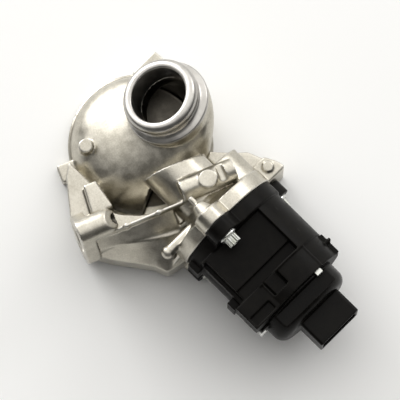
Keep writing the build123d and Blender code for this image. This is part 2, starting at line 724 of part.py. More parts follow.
# Stator
with BuildPart() as stator_can:
    disc(axial(97.5), STATOR_R, 16.5)
    disc(axial(97), STATOR_BORE_R, 19, mode=Mode.SUBTRACT)
stator_can.part.label = "stator_can"
export_step(stator_can.part, "parts/stator_can.step")

with BuildPart() as stator_magnets:
    disc(axial(98.5), STATOR_BORE_R, 13.5)
    disc(axial(98), 16.7, 15, mode=Mode.SUBTRACT)
    block((98, -4, 10), (113, 4, 60), Mode.SUBTRACT)
stator_magnets.part.label = "stator_magnets"
export_step(stator_magnets.part, "parts/stator_magnets.step")

BRUSH_X0 = 115.0
BRUSH_X1 = 118.4
HOLDER_X0 = 119.6
COMMUTATOR_R = 8.0
with BuildPart() as brush_holder:
    disc(axial(HOLDER_X0), REAR_BORE_R, 2.4)
    disc(axial(HOLDER_X0), 9.6, 7)
    block((BRUSH_X0 - 0.4, -20, AXIS_Z - 3.4), (HOLDER_X0 + 1, -11.5, AXIS_Z + 3.4))
    block((BRUSH_X0 - 0.4, 11.5, AXIS_Z - 3.4), (HOLDER_X0 + 1, 20, AXIS_Z + 3.4))
    block((BRUSH_X0, -21, AXIS_Z - 2.4), (BRUSH_X1, 21, AXIS_Z + 2.4), Mode.SUBTRACT)
    disc(axial(HOLDER_X0 - 1), 6.6, 9, mode=Mode.SUBTRACT)
brush_holder.part.label = "brush_holder"
export_step(brush_holder.part, "parts/brush_holder.step")

with BuildPart() as brushes:
    block((BRUSH_X0, -16.5, AXIS_Z - 2.4), (BRUSH_X1, -7, AXIS_Z + 2.4))
    block((BRUSH_X0, 7, AXIS_Z - 2.4), (BRUSH_X1, 16.5, AXIS_Z + 2.4))
    disc(axial(BRUSH_X0 - 1), COMMUTATOR_R + 0.04, 6, mode=Mode.SUBTRACT)
brushes.part.label = "brushes"
export_step(brushes.part, "parts/brushes.step")

with BuildPart() as brush_springs:
    for side in (-1, 1):
        low, high = sorted((side * 16.5, side * 17.1))
        block((BRUSH_X0 + 0.5, low, AXIS_Z - 1.8), (BRUSH_X1 - 0.5, high, AXIS_Z + 1.8))
        low, high = sorted((side * 17.1, side * 19.6))
        block((BRUSH_X0 + 0.5, low, AXIS_Z + 1.0), (BRUSH_X1 - 0.5, high, AXIS_Z + 1.8))
        low, high = sorted((side * 19.0, side * 19.6))
        block((BRUSH_X0 + 0.5, low, AXIS_Z - 1.8), (BRUSH_X1 - 0.5, high, AXIS_Z + 1.8))
brush_springs.part.label = "brush_springs"
export_step(brush_springs.part, "parts/brush_springs.step")

with BuildPart() as rear_bush:
    disc(axial(HOLDER_X0), 6.6, 7)
    disc(axial(HOLDER_X0 - 1), SHAFT_R + 0.03, 9, mode=Mode.SUBTRACT)
rear_bush.part.label = "rear_bush"
export_step(rear_bush.part, "parts/rear_bush.step")

# Plunger guide with its two straight slots
with BuildPart() as plunger_guide:
    disc(axial(74), GUIDE_TUBE_R, 18.5)
    disc(axial(74), 10.4, 3)
    disc(axial(73), GUIDE_TUBE_BORE_R, 22, mode=Mode.SUBTRACT)
    block(
        (PIN_X - LIFT - PIN_R - 0.6, -9, AXIS_Z - PIN_SLOT_R),
        (PIN_X + PIN_R + 0.6, 9, AXIS_Z + PIN_SLOT_R),
        Mode.SUBTRACT,
    )
plunger_guide.part.label = "plunger_guide"
export_step(plunger_guide.part, "parts/plunger_guide.step")

with BuildPart() as plunger:
    disc(axial(STEM_X1 + 0.02), PLUNGER_R, 91.5 - STEM_X1)
    disc(axial(84), 3.2, 9, mode=Mode.SUBTRACT)
    disc(Plane(origin=(PIN_X, -8, AXIS_Z), x_dir=(1, 0, 0), z_dir=(0, 1, 0)), PIN_R, 16,
         mode=Mode.SUBTRACT)
plunger.part.label = "plunger"
export_step(plunger.part, "parts/plunger.step")

with BuildPart() as cross_pin:
    disc(Plane(origin=(PIN_X, -10.2, AXIS_Z), x_dir=(1, 0, 0), z_dir=(0, 1, 0)), PIN_R, 20.4)
cross_pin.part.label = "cross_pin"
export_step(cross_pin.part, "parts/cross_pin.step")

# Front ball bearing
with BuildPart() as bearing_outer_ring:
    turned(
        axial(BEARING_X0),
        [
            (OUTER_RACE_R - OUTER_LIP, 0),
            (BEARING_OUTER_R, 0),
            (BEARING_OUTER_R, BEARING_WIDTH),
            (OUTER_RACE_R - OUTER_LIP, BEARING_WIDTH),
            (OUTER_RACE_R - OUTER_LIP, BEARING_MID + 0.75 * BALL_R),
            (OUTER_RACE_R, BEARING_MID + 0.5 * BALL_R),
            (OUTER_RACE_R, BEARING_MID - 0.5 * BALL_R),
            (OUTER_RACE_R - OUTER_LIP, BEARING_MID - 0.75 * BALL_R),
        ],
    )
bearing_outer_ring.part.label = "bearing_outer_ring"
export_step(bearing_outer_ring.part, "parts/bearing_outer_ring.step")

with BuildPart() as bearing_inner_ring:
    turned(
        axial(BEARING_X0),
        [
            (SLEEVE_OUTER_R, 0),
            (INNER_RACE_R + INNER_LIP, 0),
            (INNER_RACE_R + INNER_LIP, BEARING_MID - 0.625 * BALL_R),
            (INNER_RACE_R, BEARING_MID - 0.5 * BALL_R),
            (INNER_RACE_R, BEARING_MID + 0.5 * BALL_R),
            (INNER_RACE_R + INNER_LIP, BEARING_MID + 0.625 * BALL_R),
            (INNER_RACE_R + INNER_LIP, BEARING_WIDTH),
            (SLEEVE_OUTER_R, BEARING_WIDTH),
        ],
    )
bearing_inner_ring.part.label = "bearing_inner_ring"
export_step(bearing_inner_ring.part, "parts/bearing_inner_ring.step")

with BuildPart() as bearing_balls:
    for index in range(BALL_COUNT):
        turn = radians(index * 360 / BALL_COUNT)
        ball_y, ball_z = BALL_PCR * cos(turn), BALL_PCR * sin(turn)
        with Locations((BEARING_X0 + BEARING_MID, ball_y, AXIS_Z + ball_z)):
            Sphere(BALL_R)
bearing_balls.part.label = "bearing_balls"
export_step(bearing_balls.part, "parts/bearing_balls.step")

with BuildPart() as ball_cage:
    cage_inner_r, cage_outer_r = BALL_PCR - CAGE_REACH, BALL_PCR + CAGE_REACH
    turned(
        axial(BEARING_X0),
        [(cage_inner_r, 0.4), (cage_outer_r, 0.4), (cage_outer_r, 3.8), (cage_inner_r, 3.8)],
    )
    for index in range(BALL_COUNT):
        turn = radians(index * 360 / BALL_COUNT)
        ball_y, ball_z = BALL_PCR * cos(turn), BALL_PCR * sin(turn)
        disc(axial(BEARING_X0 + 1.3, ball_y, AXIS_Z + ball_z), BALL_R + 0.05, 4, Mode.SUBTRACT)
ball_cage.part.label = "ball_cage"
export_step(ball_cage.part, "parts/ball_cage.step")

# Rotor
SLOT_STEPS = 24
with BuildPart() as rotor_sleeve:
    disc(axial(SLEEVE_X0), SLEEVE_OUTER_R, SLEEVE_X1 - SLEEVE_X0 + 2.4)
    disc(axial(SLEEVE_X0 - 1), SLEEVE_INNER_R, SLEEVE_X1 - SLEEVE_X0 + 1, mode=Mode.SUBTRACT)
    for index in range(SLOT_STEPS + 1):
        share = index / SLOT_STEPS
        turn = radians(-LIFT_TURN * share)
        outward = Vector(0, cos(turn), sin(turn))
        start = Vector(PIN_X - LIFT * share, 0, AXIS_Z) - outward * 12
        disc(
            Plane(origin=start, x_dir=(1, 0, 0), z_dir=outward), PIN_SLOT_R, 24,
            mode=Mode.SUBTRACT,
        )
rotor_sleeve.part.label = "rotor_sleeve"
export_step(rotor_sleeve.part, "parts/rotor_sleeve.step")

with BuildPart() as rotor_shaft:
    disc(axial(SLEEVE_X1 + 2.4), SHAFT_R, SHAFT_X1 - SLEEVE_X1 - 2.4)
rotor_shaft.part.label = "rotor_shaft"
export_step(rotor_shaft.part, "parts/rotor_shaft.step")

with BuildPart() as armature_core:
    disc(axial(ARMATURE_X0), ARMATURE_R, ARMATURE_X1 - ARMATURE_X0)
    for index in range(8):
        turn = radians(index * 45 + 22.5)
        at = Vector(0, cos(turn), sin(turn)) * 12.4
        disc(axial(ARMATURE_X0 - 1, at.Y, AXIS_Z + at.Z), 2.4, 16, mode=Mode.SUBTRACT)
    disc(axial(ARMATURE_X0 - 1), SHAFT_R, 16, mode=Mode.SUBTRACT)
armature_core.part.label = "armature_core"
export_step(armature_core.part, "parts/armature_core.step")

with BuildPart() as windings:
    for index in range(8):
        turn = radians(index * 45 + 22.5)
        at = Vector(0, cos(turn), sin(turn)) * 12.4
        disc(axial(ARMATURE_X0 - 1, at.Y, AXIS_Z + at.Z), 2.4, ARMATURE_X1 - ARMATURE_X0 + 2)
    for start in (ARMATURE_X0 - 1.6, ARMATURE_X1):
        turned(
            axial(start),
            [(9.6, 0), (15.0, 0), (15.6, 0.5), (15.6, 1.1), (15.0, 1.6), (9.6, 1.6)],
        )
windings.part.label = "windings"
export_step(windings.part, "parts/windings.step")

with BuildPart() as commutator:
    disc(axial(114.2), COMMUTATOR_R, 4.8)
    for index in range(8):
        with Locations(Location((116, 0, AXIS_Z), (index * 45, 0, 0))):
            with Locations((0, COMMUTATOR_R, 0)):
                Box(8, 1.2, 0.5, mode=Mode.SUBTRACT)
    disc(axial(113), SHAFT_R, 8, mode=Mode.SUBTRACT)
commutator.part.label = "commutator"
export_step(commutator.part, "parts/commutator.step")

with BuildPart() as sensor_magnet:
    disc(axial(SHAFT_X1 - 2.5), 6.5, 4.5)
    disc(axial(SHAFT_X1 - 3), SHAFT_R, 3, mode=Mode.SUBTRACT)
sensor_magnet.part.label = "sensor_magnet"
export_step(sensor_magnet.part, "parts/sensor_magnet.step")

# End cap with its connector
with BuildPart() as end_cap:
    disc(axial(COLLAR_X1, CAP_Y), CAP_R, CAP_X1 - COLLAR_X1)
    fillet(end_cap.faces().sort_by(Axis.X)[-1].edges(), 6.5)
    block((COLLAR_X1 + CAP_RIM, -40, CAP_FLAT_Z), (139, 40, 80), Mode.SUBTRACT)
    block((COLLAR_X1, -31.6, 33), (COLLAR_X1 + CAP_RIM, -24, 43))
    with BuildSketch(axial(CAP_X1 - 2, 0, 0)) as shroud:
        with Locations(((PLUG_Y0 + PLUG_Y1) / 2, (PLUG_Z0 + PLUG_Z1) / 2)):
            RectangleRounded(PLUG_Y1 - PLUG_Y0, PLUG_Z1 - PLUG_Z0, 2.0)
    extrude(shroud.sketch, amount=PLUG_X1 - CAP_X1 + 2)
    disc(axial(COLLAR_X1 - 4), REAR_BORE_R - 0.1, 4)
    disc(axial(COLLAR_X1 - 5), REAR_BORE_R - 2.2, 6, mode=Mode.SUBTRACT)
    block((COLLAR_X1 - 0.5, -16.5, 21), (139.5, 14.5, 49.5), Mode.SUBTRACT)
    with BuildSketch(axial(CAP_X1 + 1, 0, 0)) as socket:
        with Locations(((PLUG_Y0 + PLUG_Y1) / 2, (PLUG_Z0 + PLUG_Z1) / 2)):
            RectangleRounded(
                PLUG_Y1 - PLUG_Y0 - 2 * PLUG_WALL, PLUG_Z1 - PLUG_Z0 - 2 * PLUG_WALL, 1.2
            )
    extrude(socket.sketch, amount=20, mode=Mode.SUBTRACT)
    turned(
        axial(COLLAR_X1 - 3.2),
        [(20.9, 0), (26, 0), (26, 1.8), (20.9, 1.8)],
        mode=Mode.SUBTRACT,
    )
    for index in range(PIN_COUNT):
        across = (PLUG_Y0 + PLUG_Y1) / 2 + (index - 2) * PIN_PITCH
        block((138, across - 0.75, 35.6), (145, across + 0.75, 36.4), Mode.SUBTRACT)
end_cap.part.label = "end_cap"
export_step(end_cap.part, "parts/end_cap.step")

with BuildPart() as cap_seal:
    turned(axial(COLLAR_X1 - 3.2), [(20.9, 0), (REAR_BORE_R, 0), (REAR_BORE_R, 1.8), (20.9, 1.8)])
cap_seal.part.label = "cap_seal"
export_step(cap_seal.part, "parts/cap_seal.step")

BOARD_X = 134.6
with BuildPart() as circuit_board:
    block((BOARD_X, -16.5, 21), (BOARD_X + 1.6, 14.5, 49.5))
circuit_board.part.label = "circuit_board"
export_step(circuit_board.part, "parts/circuit_board.step")

with BuildPart() as position_sensor:
    block((BOARD_X - 1.4, -2.6, AXIS_Z - 2.6), (BOARD_X, 2.6, AXIS_Z + 2.6))
position_sensor.part.label = "position_sensor"
export_step(position_sensor.part, "parts/position_sensor.step")

with BuildPart() as connector_pins:
    for index in range(PIN_COUNT):
        across = (PLUG_Y0 + PLUG_Y1) / 2 + (index - 2) * PIN_PITCH
        block((BOARD_X + 1.6, across - 0.75, 35.6), (155.0, across + 0.75, 36.4))
connector_pins.part.label = "connector_pins"
export_step(connector_pins.part, "parts/connector_pins.step")
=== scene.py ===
"""Exhaust gas recirculation valve, dressed and lit for a studio picture.

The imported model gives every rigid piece. This script softens the die casting and the
moulded covers, adds the lathe-turned hose spigot, and gives each piece its finish. All sizes
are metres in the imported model's own frame.
"""

import json
import logging
import math
from dataclasses import dataclass, field
from enum import Enum
from typing import ClassVar, Optional, Union

import bmesh
import bpy
from mathutils import Euler, Matrix, Vector

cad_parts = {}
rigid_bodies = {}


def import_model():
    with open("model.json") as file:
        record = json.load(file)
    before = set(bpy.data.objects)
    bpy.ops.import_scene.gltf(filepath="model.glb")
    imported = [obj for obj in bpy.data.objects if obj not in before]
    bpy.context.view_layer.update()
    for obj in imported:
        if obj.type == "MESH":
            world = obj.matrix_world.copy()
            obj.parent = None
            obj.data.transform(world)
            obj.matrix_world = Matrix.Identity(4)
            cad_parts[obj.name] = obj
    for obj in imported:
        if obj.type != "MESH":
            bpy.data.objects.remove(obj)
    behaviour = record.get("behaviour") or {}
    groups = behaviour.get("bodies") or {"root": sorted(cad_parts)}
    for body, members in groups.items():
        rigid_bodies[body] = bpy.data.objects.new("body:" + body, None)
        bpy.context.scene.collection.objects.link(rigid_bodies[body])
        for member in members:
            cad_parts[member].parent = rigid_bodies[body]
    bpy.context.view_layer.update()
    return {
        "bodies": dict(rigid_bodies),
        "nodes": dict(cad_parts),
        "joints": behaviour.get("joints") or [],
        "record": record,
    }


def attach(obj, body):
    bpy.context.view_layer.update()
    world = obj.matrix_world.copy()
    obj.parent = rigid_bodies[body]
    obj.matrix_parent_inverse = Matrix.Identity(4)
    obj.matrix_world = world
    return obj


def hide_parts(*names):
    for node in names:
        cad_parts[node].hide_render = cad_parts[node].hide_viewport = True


LOG = logging.getLogger("egr_valve")
MM = 0.001
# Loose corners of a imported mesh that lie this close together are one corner
SEAM = 0.002 * MM
# Inputs and output of a colour mix, which share their names with other ones
MIX_UNDER, MIX_OVER, MIX_RESULT = 6, 7, 2

Number = Union[int, float, "Wire"]
Colour = tuple[float, float, float]
Band = tuple[float, float]
Feed = Union[Number, bpy.types.NodeSocket, Euler, Vector, tuple[float, ...]]
Nodes = dict[str, bpy.types.Object]


def opaque(colour: Colour) -> tuple[float, float, float, float]:
    """Give a colour its full cover."""
    return (*colour, 1.0)


class Wire:
    """One value in a node graph that takes part in ordinary arithmetic."""

    def __init__(self, graph: "Graph", socket: bpy.types.NodeSocket) -> None:
        """Keep the graph that the value belongs to and its output socket."""
        self.graph = graph
        self.socket = socket

    def __add__(self, other: Number) -> "Wire":
        """Sum of two values."""
        return self.graph.maths("ADD", self, other)

    def __radd__(self, other: Number) -> "Wire":
        """Sum with the plain number on the left."""
        return self.graph.maths("ADD", other, self)

    def __sub__(self, other: Number) -> "Wire":
        """Difference of two values."""
        return self.graph.maths("SUBTRACT", self, other)

    def __rsub__(self, other: Number) -> "Wire":
        """Difference with the plain number on the left."""
        return self.graph.maths("SUBTRACT", other, self)

    def __mul__(self, other: Number) -> "Wire":
        """Product of two values."""
        return self.graph.maths("MULTIPLY", self, other)

    def __rmul__(self, other: Number) -> "Wire":
        """Product with the plain number on the left."""
        return self.graph.maths("MULTIPLY", other, self)

    def root(self) -> "Wire":
        """Square root of the value."""
        return self.graph.maths("SQRT", self, 0.0)

    def at_least(self, other: Number) -> "Wire":
        """Larger one of two values."""
        return self.graph.maths("MAXIMUM", self, other)

    def ramp(self, start: float, stop: float, low: float = 0.0, high: float = 1.0) -> "Wire":
        """Carry the value smoothly from low to high.

        Args:
            start: Value at which the result is still low.
            stop: Value at which the result has reached high.
            low: Result before start.
            high: Result after stop.

        Returns:
            The new value.
        """
        sockets = {
            "Value": self,
            "From Min": start,
            "From Max": stop,
            "To Min": low,
            "To Max": high,
        }
        node = self.graph.node("ShaderNodeMapRange", sockets, interpolation_type="SMOOTHSTEP")
        return Wire(self.graph, node.outputs["Result"])


class Graph:
    """Nodes of a material or of the room, and the values that pass between them."""

    def __init__(self, tree: bpy.types.NodeTree) -> None:
        """Keep the tree that the nodes go into."""
        self.tree = tree

    def node(
        self,
        kind: str,
        sockets: Optional[dict[Union[int, str], Feed]] = None,
        **settings: object,
    ) -> bpy.types.Node:
        """Add a node with its settings, then give its inputs their values or links.

        Args:
            kind: Blender's name of the node's type.
            sockets: Value or link of each input, by its name or number.
            **settings: Settings of the node.

        Returns:
            The new node.
        """
        made = self.tree.nodes.new(kind)
        for name, value in settings.items():
            setattr(made, name, value)
        for key, value in (sockets or {}).items():
            self.feed(made.inputs[key], value)
        return made

    def feed(self, socket: bpy.types.NodeSocket, value: Feed) -> None:
        """Give an input a link or a plain value.

        Args:
            socket: The input.
            value: A wire, another node's output or a plain value.
        """
        source = value.socket if isinstance(value, Wire) else value
        if isinstance(source, bpy.types.NodeSocket):
            self.tree.links.new(source, socket)
        else:
            socket.default_value = source

    def maths(self, operation: str, first: Number, second: Number) -> Wire:
        """Combine two values with one of Blender's math operations."""
        node = self.node("ShaderNodeMath", {0: first, 1: second}, operation=operation)
        return Wire(self, node.outputs[0])


class Skin(Graph):
    """Node graph of one material, from an empty start to its surface."""

    def __init__(self, name: str) -> None:
        """Make the material and its shader.

        Args:
            name: Name of the material.
        """
        self.material = bpy.data.materials.new(name)
        self.material.use_nodes = True
        super().__init__(self.material.node_tree)
        self.tree.nodes.clear()
        self.shader = self.node("ShaderNodeBsdfPrincipled")
        self.node("ShaderNodeOutputMaterial", {"Surface": self.shader.outputs["BSDF"]})
        self.coordinates = self.node("ShaderNodeTexCoord").outputs["Object"]

    def turned(self, frame: Matrix) -> bpy.types.NodeSocket:
        """Give the coordinates seen from a turned axis system.

        Args:
            frame: Place and turn of the axis system in the model's frame.

        Returns:
            Socket that carries the coordinates in that system.
        """
        sockets = {
            "Vector": self.coordinates,
            "Location": frame.to_translation(),
            "Rotation": frame.to_euler("XYZ"),
        }
        return self.node("ShaderNodeMapping", sockets, vector_type="TEXTURE").outputs["Vector"]

    def split(self, vector: bpy.types.NodeSocket) -> tuple[Wire, Wire, Wire]:
        """Separate a vector into its three values."""
        node = self.node("ShaderNodeSeparateXYZ", {0: vector})
        return tuple(Wire(self, output) for output in node.outputs)

    def join(self, *values: Number) -> bpy.types.NodeSocket:
        """Make one vector of three values."""
        return self.node("ShaderNodeCombineXYZ", dict(enumerate(values))).outputs[0]

    def noise(
        self,
        size: float,
        detail: float = 3.0,
        roughness: float = 0.55,
        vector: Optional[bpy.types.NodeSocket] = None,
    ) -> Wire:
        """Cloudy pattern.

        Args:
            size: Size of its patches in metres.
            detail: Number of finer layers.
            roughness: Share that the finer layers take.
            vector: Coordinates to read in place of the object's own.

        Returns:
            The pattern, from 0 to 1.
        """
        sockets = {
            "Vector": vector or self.coordinates,
            "Scale": 1.0 / size,
            "Detail": detail,
            "Roughness": roughness,
        }
        return Wire(self, self.node("ShaderNodeTexNoise", sockets).outputs["Fac"])

    def ridge(self) -> Wire:
        """How far the surface stands out there, above one half on outer edges."""
        return Wire(self, self.node("ShaderNodeNewGeometry").outputs["Pointiness"])

    def overlay(
        self, under: Union[Colour, bpy.types.NodeSocket], over: Colour, share: Wire
    ) -> bpy.types.NodeSocket:
        """Lay one colour over another.

        Args:
            under: Colour where the share is 0, plain or from the graph.
            over: Colour where the share is 1.
            share: Share of the colour that is laid over.

        Returns:
            Socket that carries the mixed colour.
        """
        base = opaque(under) if isinstance(under, tuple) else under
        sockets = {"Factor": share, MIX_UNDER: base, MIX_OVER: opaque(over)}
        return self.node("ShaderNodeMix", sockets, data_type="RGBA").outputs[MIX_RESULT]

    def colour(self, socket: bpy.types.NodeSocket) -> None:
        """Connect the surface colour."""
        self.feed(self.shader.inputs["Base Color"], socket)

    def relief(self, height: Wire, depth: float) -> None:
        """Give the surface fine relief.

        Args:
            height: Pattern of heights from 0 to 1.
            depth: Height in metres between 0 and 1.
        """
        bump = self.node("ShaderNodeBump", {"Height": height, "Distance": depth})
        self.feed(self.shader.inputs["Normal"], bump.outputs["Normal"])


@dataclass(frozen=True)
class Finish:
    """Finish with two close tones, a grain and an even gloss.

    A band holds the two values of a pattern between which a change takes place.
    """

    name: str
    tone: Colour
    shade: Colour
    metallic: float = 1.0
    gloss: Band = (0.3, 0.42)
    patch: float = 6.0 * MM
    grain: float = 0.35 * MM
    depth: float = 0.02 * MM
    # Lighter edge tone: partly wear, partly a painted highlight on outer edges
    edge: Colour = (0.8, 0.8, 0.8)
    edge_share: float = 0.0
    edge_band: Band = (0.51, 0.56)
    tone_band: Band = (0.32, 0.68)
    gloss_band: Band = (0.3, 0.7)

    def material(self) -> bpy.types.Material:
        """Build the node graph of this finish.

        Returns:
            The material.
        """
        skin = Skin(self.name)
        patches = skin.noise(self.patch)
        self.paint(skin, patches)
        skin.feed(skin.shader.inputs["Roughness"], patches.ramp(*self.gloss_band, *self.gloss))
        skin.shader.inputs["Metallic"].default_value = self.metallic
        skin.relief(self.heights(skin), self.depth)
        self.extras(skin)
        return skin.material

    def paint(self, skin: Skin, patches: Wire) -> None:
        """Colour the surface with both tones, and lighten its outer edges with the edge tone,
        partly wear and partly a painted highlight.

        Args:
            skin: Graph of the material.
            patches: Pattern that shares out the two tones.
        """
        colour = skin.overlay(self.shade, self.tone, patches.ramp(*self.tone_band))
        # Lighter outer edges: partly wear, partly painted highlight
        if self.edge_share:
            colour = self.edge_wear_and_highlight(skin, colour, skin.ridge())
        skin.colour(colour)

    def edge_wear_and_highlight(
        self, skin: Skin, colour: bpy.types.NodeSocket, ridge: Wire
    ) -> bpy.types.NodeSocket:
        """Lay the edge tone over a colour where the surface stands out: partly wear, partly a
        painted highlight.
        """
        return skin.overlay(colour, self.edge, ridge.ramp(*self.edge_band, high=self.edge_share))

    def heights(self, skin: Skin) -> Wire:
        """Give the fine relief, which is plain grain here."""
        return skin.noise(self.grain, detail=2.0)

    def extras(self, skin: Skin) -> None:
        """Set what a plain finish leaves alone."""


@dataclass(frozen=True)
class BellHollow:
    """Sizes of the hollow that gets painted shade, which stands on the outlet and leans towards the
    spigot.
    """

    middle: tuple[float, float] = (2.5 * MM, 1.6 * MM)
    radius: float = 36.2 * MM
    upright: float = 14 * MM
    lean: float = 0.9
    taper: float = 0.7
    wall: Band = (0.0, 1.0 * MM)
    top: Band = (46 * MM, 38 * MM)
    inward: Band = (0.0, -4 * MM)
    floor_from: Band = (2 * MM, 4 * MM)
    floor_until: Band = (12 * MM, 9 * MM)

    def share(self, skin: Skin) -> Wire:
        """Find the surfaces that face the hollow, and its floor, where the shade is painted.

        Args:
            skin: Graph of the casting's material.

        Returns:
            1 on those surfaces, falling to 0 beyond them.
        """
        east, north, height = skin.split(skin.coordinates)
        rise = (height - self.upright).at_least(0.0)
        east = east - self.middle[0]
        north = north - self.middle[1] - rise * self.lean
        inside = self.radius - rise * self.taper - (east * east + north * north).root()
        facing_east, facing_north, _ = skin.split(skin.node("ShaderNodeTexCoord").outputs["Normal"])
        outward = east * facing_east + north * facing_north
        on_floor = height.ramp(*self.floor_from) * height.ramp(*self.floor_until)
        lining = outward.ramp(*self.inward).at_least(on_floor)
        return inside.ramp(*self.wall) * height.ramp(*self.top) * lining


@dataclass(frozen=True)
class BoltLine:
    """Line through the bolt holes above the gas duct, whose walls get painted shade."""

    start: tuple[float, float, float] = (18.15 * MM, -67.19 * MM, 54.2 * MM)
    direction: tuple[float, float, float] = (0.3746, 0.9272, 0.0)
    wall: Band = (3.8 * MM, 3.5 * MM)

    def share(self, skin: Skin) -> Wire:
        """Find the walls of the holes, where the shade is painted.

        Args:
            skin: Graph of the casting's material.

        Returns:
            1 near the line, falling to 0 beyond the walls.
        """
        turn = Vector(self.direction).to_track_quat("Z", "Y").to_matrix().to_4x4()
        across, upward, _ = skin.split(skin.turned(Matrix.Translation(self.start) @ turn))
        return (across * across + upward * upward).root().ramp(*self.wall)


@dataclass(frozen=True)
class CastFinish(Finish):
    """Die-cast skin: satin grain, soft waves, bright edges that are partly wear and partly painted
    highlight, and painted shade in corners and hollows.
    """

    # Edge tone: partly wear, partly a painted highlight
    edge: Colour = (0.72, 0.71, 0.68)
    edge_band: Band = (0.515, 0.56)
    tone_band: Band = (0.32, 0.66)
    flow: float = 22 * MM
    speckle: float = 0.9 * MM
    shares: tuple[float, float, float] = (0.35, 0.35, 0.3)
    wave: float = 7.0 * MM
    wave_height: float = 1.3
    grain_height: float = 0.9
    # Painted shade in concave corners
    corner: Colour = (0.13, 0.11, 0.08)
    corner_shade_share: float = 0.75
    corner_shade_band: Band = (0.495, 0.44)
    # Painted shade inside the bell hollow and the bolt holes
    hollow_shade: Colour = (0.05, 0.044, 0.036)
    hollow_shade_share: float = 0.9
    hollow: BellHollow = BellHollow()
    bolts: BoltLine = BoltLine()

    def paint(self, skin: Skin, patches: Wire) -> None:
        """Add flow marks, painted shade in corners, edges lightened partly by wear and partly by
        painted highlight, and painted shade in the hollow and bolt holes to the tones.

        Args:
            skin: Graph of the material.
            patches: Pattern that takes part in sharing out the two tones.
        """
        flow = skin.noise(self.flow, detail=4.0, roughness=0.6)
        speckle = skin.noise(self.speckle, detail=2.0)
        patch_share, flow_share, speckle_share = self.shares
        marks = patches * patch_share + flow * flow_share + speckle * speckle_share
        colour = skin.overlay(self.shade, self.tone, marks.ramp(*self.tone_band))
        ridge = skin.ridge()
        # Painted shade in concave corners, then lighter edges that are partly wear and partly
        # painted highlight
        shaded_corners = ridge.ramp(*self.corner_shade_band, high=self.corner_shade_share)
        colour = self.edge_wear_and_highlight(skin, skin.overlay(colour, self.corner, shaded_corners), ridge)
        # Painted shade inside the bell hollow and the bolt holes
        shaded_hollows = self.hollow.share(skin).at_least(self.bolts.share(skin))
        skin.colour(skin.overlay(colour, self.hollow_shade, shaded_hollows * self.hollow_shade_share))

    def heights(self, skin: Skin) -> Wire:
        """Lay fine grain over soft waves."""
        grain = skin.noise(self.grain, detail=3.0, roughness=0.65)
        return grain * self.grain_height + skin.noise(self.wave) * self.wave_height


@dataclass(frozen=True)
class TurnedFinish(Finish):
    """Lathe-turned metal with rings round the piece's own axis."""

    frame: Matrix = field(default_factory=Matrix)
    pitch: float = 0.3 * MM
    depth: float = 0.002 * MM
    stretch: float = 0.35

    def heights(self, skin: Skin) -> Wire:
        """Give rings that are even round the axis.

        Args:
            skin: Graph of the material.

        Returns:
            Pattern of heights.
        """
        across, upward, station = skin.split(skin.turned(self.frame))
        radius = (across * across + upward * upward).root()
        rings = skin.join(radius, station, 0.0)
        return skin.noise(self.pitch, detail=2.0, roughness=0.7, vector=rings)

    def extras(self, skin: Skin) -> None:
        """Stretch the gloss along the rings."""
        skin.shader.inputs["Anisotropic"].default_value = self.stretch


@dataclass(frozen=True)
class MouldedFinish(Finish):
    """Moulded plastic with a spark-eroded skin and a thin sheen."""

    sheen: float = 0.0
    sheen_blur: float = 0.16
    shine: float = 0.06
    sink: float = 9 * MM
    sink_height: float = 1.4
    grain_height: float = 0.5

    def heights(self, skin: Skin) -> Wire:
        """Lay the fine skin over the slight sink of thick walls.

        Args:
            skin: Graph of the material.

        Returns:
            Pattern of heights.
        """
        grain = skin.noise(self.grain, detail=2.0)
        sink = skin.noise(self.sink, detail=1.0)
        return grain * self.grain_height + sink * self.sink_height

    def extras(self, skin: Skin) -> None:
        """Add the clear skin of a polished mould.

        Args:
            skin: Graph of the material.
        """
        skin.shader.inputs["Coat Weight"].default_value = self.sheen
        skin.shader.inputs["Coat Roughness"].default_value = self.sheen_blur
        skin.shader.inputs["Specular IOR Level"].default_value = self.shine


@dataclass(frozen=True)
class WoundFinish(Finish):
    """Enamelled wire wound side by side along the main axis."""

    # Length of one band of Blender's wave pattern at a scale of 1
    BAND: ClassVar[float] = 0.314

    strand: float = 0.5 * MM
    unevenness: float = 1.2

    def heights(self, skin: Skin) -> Wire:
        """Give the strands as rounded lines across the main axis.

        Args:
            skin: Graph of the material.

        Returns:
            Pattern of heights.
        """
        sockets = {
            "Vector": skin.coordinates,
            "Scale": self.BAND / self.strand,
            "Distortion": self.unevenness,
        }
        waves = skin.node("ShaderNodeTexWave", sockets, wave_type="BANDS", bands_direction="Y")
        return Wire(skin, waves.outputs["Fac"])


class Tone(Enum):
    """Lighter and darker base colour of each real material, as linear light."""

    CAST = ((0.62, 0.59, 0.515), (0.40, 0.375, 0.315))
    TURNED = ((0.53, 0.515, 0.485), (0.43, 0.415, 0.39))
    GROUND = ((0.72, 0.71, 0.68), (0.58, 0.58, 0.57))
    STEEL = ((0.58, 0.58, 0.57), (0.46, 0.46, 0.45))
    ZINC = ((0.66, 0.67, 0.64), (0.52, 0.53, 0.46))
    IRON = ((0.26, 0.25, 0.24), (0.18, 0.175, 0.17))
    BRONZE = ((0.52, 0.36, 0.16), (0.40, 0.27, 0.12))
    COPPER = ((0.62, 0.28, 0.13), (0.45, 0.19, 0.08))
    BLACK = ((0.0075, 0.0068, 0.0058), (0.0045, 0.0041, 0.0036))
    RUBBER = ((0.020, 0.019, 0.018), (0.012, 0.012, 0.012))
    GREEN = ((0.02, 0.11, 0.045), (0.014, 0.08, 0.032))
    CREAM = ((0.52, 0.46, 0.30), (0.44, 0.38, 0.24))


def main_axis_frame(height: float = 35 * MM) -> Matrix:
    """Axis system whose third axis is the valve and motor axis."""
    return Matrix.Translation((0, 0, height)) @ Matrix.Rotation(math.pi / 2, 4, "Y")


